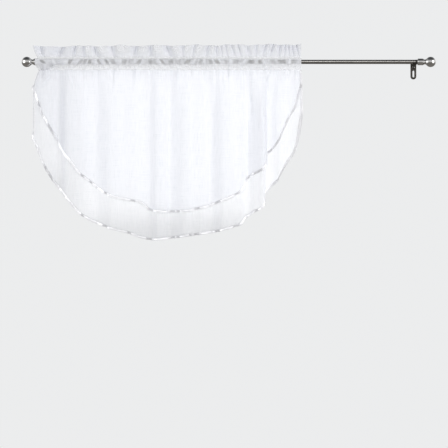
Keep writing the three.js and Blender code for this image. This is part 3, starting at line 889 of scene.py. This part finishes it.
def finial_piece(name, across, outward, material):
    centre, ball, neck, foot, flare = vars(FINIAL).values()
    neck_angle = 180 - math.degrees(math.asin(neck / ball))
    shoulder = arc((centre, 0), ball, neck_angle - WAIST.shoulder_angle, 0, 40)
    rim = (foot + FLANGE.rim, flare - FLANGE.fall)
    flange = [(foot, 0), (foot, flare), rim, (foot + FLANGE.length, neck)]
    waist = [flange[-1], (foot + WAIST.length, neck + WAIST.growth), shoulder[0], shoulder[1]]
    profile = rounded(flange, FLANGE.edge)[:-1] + rounded(waist, WAIST.edge, 8)[:-1] + shoulder[1:]
    rod_piece(name + "_turned", profile, across, outward, material, "finial_metal", name)


def shadow_ring_piece(name, across, outward, tube, material):
    """A thin dark ring round the end of the tube at the cap, a painted shadow for the gap between the
    bracket and the cap.
    """
    inner, outer = tube.radius + SHADOW_RING.inside, tube.radius + SHADOW_RING.outside
    profile = ring_profile(SHADOW_RING.start, CAP.start, inner, outer, SHADOW_RING.edge)
    rod_piece(name, profile, across, outward, material, "bracket_metal")


# Brackets

PLATE = Values(width=18.5, thickness=2.5, top=6.0, bottom=-51.5, corner=4.0)
SLOT = Values(width=5.4, top=-24.0, bottom=-45.0)
SCREW = Values(height=-13.0, head=4.0, thickness=2.6, shank=2.0, hole=2.4, gap=0.3, sides=96)
SCREW_DOME = Values(fullness=0.7, rim_angle=0.12, steps=28)
RECESS = Values(depth=1.1, half_width=0.75, side=0.3, reach=2.3, end=0.4, above=0.4)
ARM = Values(width=12.0, thickness=3.2, metal=2.5, lip=20.0, play=0.3, foot=1.0)
EDGE = 0.55
BRACKET_SHARP_ANGLE = 38


def cut_strip(name, outlines, thickness):
    """A flat strip of metal with soft edges, from closed outlines in millimetres; inner ones are holes."""
    curve = bpy.data.curves.new(name, "CURVE")
    curve.dimensions = "2D"
    curve.fill_mode = "BOTH"
    curve.extrude = (thickness / 2 - EDGE) * MM
    curve.bevel_depth = EDGE * MM
    curve.bevel_resolution = 2
    curve.offset = -EDGE * MM
    for outline in outlines:
        spline = curve.splines.new("POLY")
        spline.points.add(len(outline) - 1)
        for point, (x, y) in zip(spline.points, outline):
            point.co = (x * MM, y * MM, 0, 1)
        spline.use_cyclic_u = True
    holder = bpy.data.objects.new(name, curve)
    mesh = bpy.data.meshes.new_from_object(holder)
    bpy.data.objects.remove(holder)
    return mesh


def plate_outlines():
    side, corner, top, bottom = PLATE.width / 2, PLATE.corner, PLATE.top, PLATE.bottom
    outline = arc((side - corner, top - corner), corner, 0, 90)
    outline += arc((corner - side, top - corner), corner, 90, 180)
    outline += arc((0, bottom + side), side, 180, 360, 40)
    radius = SLOT.width / 2
    slot = arc((0, SLOT.top - radius), radius, 0, 180)
    slot += arc((0, SLOT.bottom + radius), radius, 180, 360)
    hole = arc((0, SCREW.height), SCREW.hole, 0, 360, 33)[:-1]
    return [outline, slot, hole]


def arm_outline(rod_radius):
    """The arm and its cradle from the side: x is out from the plate's back and y is up."""
    inside = rod_radius + ARM.play
    outside = inside + ARM.metal
    tilt = math.degrees(math.asin(ARM.thickness / outside))
    cradle = arc((ROD_PROJECTION, 0), inside, -180, -ARM.lip, 40)
    cradle += arc((ROD_PROJECTION, 0), outside, -ARM.lip, tilt - 180, 40)
    return [[(ARM.foot, 0), *cradle, (ARM.foot, -ARM.thickness)]]


def bracket_piece(name, across, rod_radius, material):
    plate = cut_strip("plate", plate_outlines(), PLATE.thickness)
    arm = cut_strip("arm", arm_outline(rod_radius), ARM.width)
    work = bmesh.new()
    work.from_mesh(plate)
    for vertex in work.verts:
        x, y, z = vertex.co
        vertex.co = (x + across * MM, -z - PLATE.thickness / 2 * MM, y)
    plate_count = len(work.verts)
    work.from_mesh(arm)
    work.verts.ensure_lookup_table()
    for vertex in work.verts[plate_count:]:
        x, y, z = vertex.co
        vertex.co = (z + across * MM, -x, y)
    bmesh.ops.remove_doubles(work, verts=work.verts, dist=MERGE_DISTANCE)
    bmesh.ops.recalc_face_normals(work, faces=work.faces)
    mesh = bpy.data.meshes.new(name)
    flat = work.loops.layers.uv.new("flat")
    for face in work.faces:
        face.smooth = True
        for corner in face.loops:
            corner[flat].uv = (corner.vert.co.x + corner.vert.co.y, corner.vert.co.z)
    work.to_mesh(mesh)
    work.free()
    mesh.set_sharp_from_angle(angle=math.radians(BRACKET_SHARP_ANGLE))
    add_piece(name + "_strip", mesh, material, "bracket_metal", name)


def cross_recess(along, radius, angle):
    """How deep the driver's cross is cut, as a shift along the screw's axis."""
    x, y = np.abs(radius * np.cos(angle)), np.abs(radius * np.sin(angle))
    in_arm = smooth((RECESS.half_width - np.minimum(x, y)) / RECESS.side)
    in_reach = smooth((RECESS.reach - np.maximum(x, y)) / RECESS.end)
    return -RECESS.depth * in_arm * in_reach * (along > PLATE.thickness + RECESS.above)


def screw_piece(name, across, material):
    head, shank, gap = SCREW.head, SCREW.shank, SCREW.gap
    seat = PLATE.thickness + gap
    angles = np.linspace(math.pi / 2 - SCREW_DOME.rim_angle, 0, SCREW_DOME.steps)
    fullness = SCREW_DOME.fullness
    dome = [(seat + SCREW.thickness * math.cos(a) ** fullness, head * math.sin(a)) for a in angles]
    profile = rounded([(gap, 0), (gap, shank), (seat, shank), (seat, head), dome[0]], gap) + dome[1:]
    origin = (across, 0, SCREW.height)
    mesh = turned_mesh(name + "_turned", profile, origin, (0, -1, 0), SCREW.sides, cross_recess)
    add_piece(name + "_turned", mesh, material, "screw_metal", name)


# Stage, light and camera

BACKDROP = (0.838, 0.845, 0.850)
AMBIENT = 0.63
ROOM_STRENGTH = 1.1

# Soft lights, in metres and watts: name, place, target, size, power and colour, white if none is given.
CLOTH_MIDDLE = (0.42, -0.06, -0.25)
LIGHTS = (
    ("key", (2.7, -2.7, 1.4), CLOTH_MIDDLE, (1.8, 1.8), 54, (1.0, 0.99, 0.97)),
    ("fill", (-1.9, -2.6, 0.2), CLOTH_MIDDLE, (1.6, 1.8), 3.5, (0.96, 0.98, 1.0)),
    ("front", (0.57, -5.2, 0), (0.57, 0, 0), (2.4, 0.6), 42),
    ("back", (0.57, -0.02, -0.235), (0.57, -0.06, -0.235), (0.96, 0.51), 1.03),
    ("back edge", (0, -0.02, -0.15), (0, -0.06, -0.15), (0.15, 0.41), 0.09),
)

# Bright panels that are only mirrored: the same up to the power, then the pieces lit, if not all.
PANELS = (
    ("left panel", (-0.88, -0.61, 0.05), (-0.05, -0.06, 0), (0.9, 1.0), 6.0),
    ("right panel", (2.04, -0.61, 0.05), (1.21, -0.06, 0), (0.9, 1.0), 6.0),
    ("top panel", (0.57, -2.76, 1.3), (0.57, -0.06, 0), (3.4, 1.0), 24.0, (
        "front_ribbon_binding", "back_ribbon_binding", "rod_outer_tube_turned", "rod_inner_tube_turned")),
)
FLOOR_CENTRE = (0.57, -0.06, -2.1)
FLOOR_RADIUS = 9.0
FLOOR_FADE = (4.0, 8.8)
CAMERA_FIELD = 1.4
CAMERA_DISTANCE = 8.0
CAMERA_CENTRE = (0.5669, -0.5066)
SENSOR_WIDTH = 36.0


def build_floor():
    bpy.ops.mesh.primitive_circle_add(
        vertices=96, radius=FLOOR_RADIUS, fill_type="NGON", location=FLOOR_CENTRE)
    floor = bpy.context.object
    floor.name = "floor"
    material, nodes = new_material("floor")
    where = nodes.add("TexCoord", output="Object")
    mottle = nodes.noise(where, (3, 3, 3), 3)
    shader = nodes.add("BsdfPrincipled", {
        "Base Color": nodes.ramp(mottle, (0.3, (0.74, 0.74, 0.745)), (0.7, (0.78, 0.78, 0.785))),
        "Roughness": 0.7})
    distance = nodes.add("VectorMath", {0: where}, "Value", operation="LENGTH")
    clear = nodes.add("BsdfTransparent")
    nodes.output(nodes.mix(nodes.range(distance, 0.0, 1.0, *FLOOR_FADE), shader, clear))
    floor.data.materials.append(material)
    floor.visible_glossy = False


def build_world():
    """A plain pale backdrop, even soft light, and a dimmer room for the metal and satin to mirror."""
    world = bpy.data.worlds.new("studio")
    bpy.context.scene.world = world
    nodes = Nodes(world)
    direction = nodes.add("TexCoord")
    height = nodes.add("SeparateXYZ", {"Vector": direction}, "Z")
    share = nodes.range(height, 0.0, 1.0, -1.0, 1.0)
    room = nodes.ramp(
        share, (0.0, (0.24, 0.225, 0.21)), (0.28, (0.20, 0.19, 0.18)), (0.44, (0.36, 0.36, 0.35)),
        (0.54, (0.84, 0.84, 0.84)), (0.66, (0.84, 0.84, 0.85)), (0.84, (0.20, 0.205, 0.21)),
        (1.0, (0.05, 0.055, 0.06)))
    soft = nodes.ramp(share, (0.0, (0.80, 0.80, 0.81)), (1.0, (0.98, 0.99, 1.0)))
    light = nodes.add("Background", {"Color": soft, "Strength": AMBIENT})
    mirrored = nodes.add("Background", {"Color": room, "Strength": ROOM_STRENGTH})
    plain = nodes.add("Background", {"Color": (*BACKDROP, 1), "Strength": 1.0})
    path = nodes.node("LightPath").outputs
    room_light = nodes.mix(path["Is Glossy Ray"], light, mirrored)
    nodes.output(nodes.mix(path["Is Camera Ray"], room_light, plain), "OutputWorld")


def add_light(name, location, target, size, power, colour=(1.0, 1.0, 1.0)):
    light = bpy.data.lights.new(name, "AREA")
    light.shape = "RECTANGLE"
    light.size, light.size_y = size
    light.energy = power
    light.color = colour
    lamp = add_object(name, light)
    lamp.location = location
    lamp.rotation_euler = (Vector(target) - Vector(location)).to_track_quat("-Z", "Y").to_euler()
    lamp.visible_camera = False
    lamp.visible_glossy = False
    return lamp


def add_panel(name, location, target, size, power, only=()):
    panel = add_light(name, location, target, size, power)
    panel.data.shape = "ELLIPSE"
    panel.visible_glossy = True
    panel.visible_diffuse = False
    if only:
        lit = bpy.data.collections.new(f"{name} lights")
        for piece in only:
            lit.objects.link(bpy.data.objects[piece])
        panel.light_linking.receiver_collection = lit


def build_light():
    for light in LIGHTS:
        add_light(*light)
    for panel in PANELS:
        add_panel(*panel)


def build_camera():
    data = bpy.data.cameras.new("camera")
    data.sensor_width = SENSOR_WIDTH
    data.lens = SENSOR_WIDTH * CAMERA_DISTANCE / CAMERA_FIELD
    data.clip_end = 60.0
    camera = add_object("camera", data)
    camera.location = (CAMERA_CENTRE[0], -ROD_PROJECTION * MM - CAMERA_DISTANCE, CAMERA_CENTRE[1])
    camera.rotation_euler = (math.pi / 2, 0, 0)
    bpy.context.scene.camera = camera


def build_cloth():
    voile = voile_material()
    satin = satin_material()
    heading, around = heading_piece(voile)
    stitches = stitch_piece("heading_stitches", thread_material())
    places = np.linspace(0, FLAT_WIDTH, HEM_SAMPLES)
    tiers = (("front", "short_drop", 1, FRONT_ROLLS), ("back", "long_drop", -1, BACK_ROLLS))
    for which, column, side, rolls in tiers:
        tier = tier_piece(which + "_tier", column, side, voile)
        ribbon = ribbon_piece(which + "_ribbon", column, side, rolls, satin)
        drops = hem_drop(column, places)


def build_metal():
    pewter = brushed_metal("satin pewter", (0.265, 0.255, 0.24), (0.35, 0.34, 0.325), 0.17, (14, 900, 1))
    nickel = brushed_metal(
        "polished nickel", (0.52, 0.515, 0.505), (0.68, 0.675, 0.66), 0.13, (500, 20, 1), 0.01)
    dark_pewter = brushed_metal(
        "dark pewter", (0.070, 0.065, 0.058), (0.13, 0.12, 0.108), 0.40, (260, 260, 1))
    steel = brushed_metal("screw steel", (0.22, 0.215, 0.20), (0.34, 0.335, 0.32), 0.32, (400, 60, 1))
    tube_piece("rod_outer_tube", OUTER_TUBE, pewter)
    tube_piece("rod_inner_tube", INNER_TUBE, pewter)
    ends = (("left", 0.0, -1, OUTER_TUBE), ("right", BRACKET_SPACING, 1, INNER_TUBE))
    for end, across, outward, tube in ends:
        cap_piece("end_cap_" + end, across, outward, tube.bore, nickel)
        # A dark ring on the tube's end at the cap: painted shadow.
        shadow_ring_piece("end_cap_sleeve_" + end, across, outward, tube, dark_pewter)
        finial_piece("finial_" + end, across, outward, nickel)
        bracket_piece("bracket_" + end, across, tube.radius, dark_pewter)
        screw_piece("wall_screw_" + end, across, steel)


build_cloth()
build_metal()
build_floor()
build_world()
build_light()
build_camera()

scene = bpy.context.scene
scene.view_settings.view_transform = "Standard"
scene.cycles.transparent_max_bounces = 32
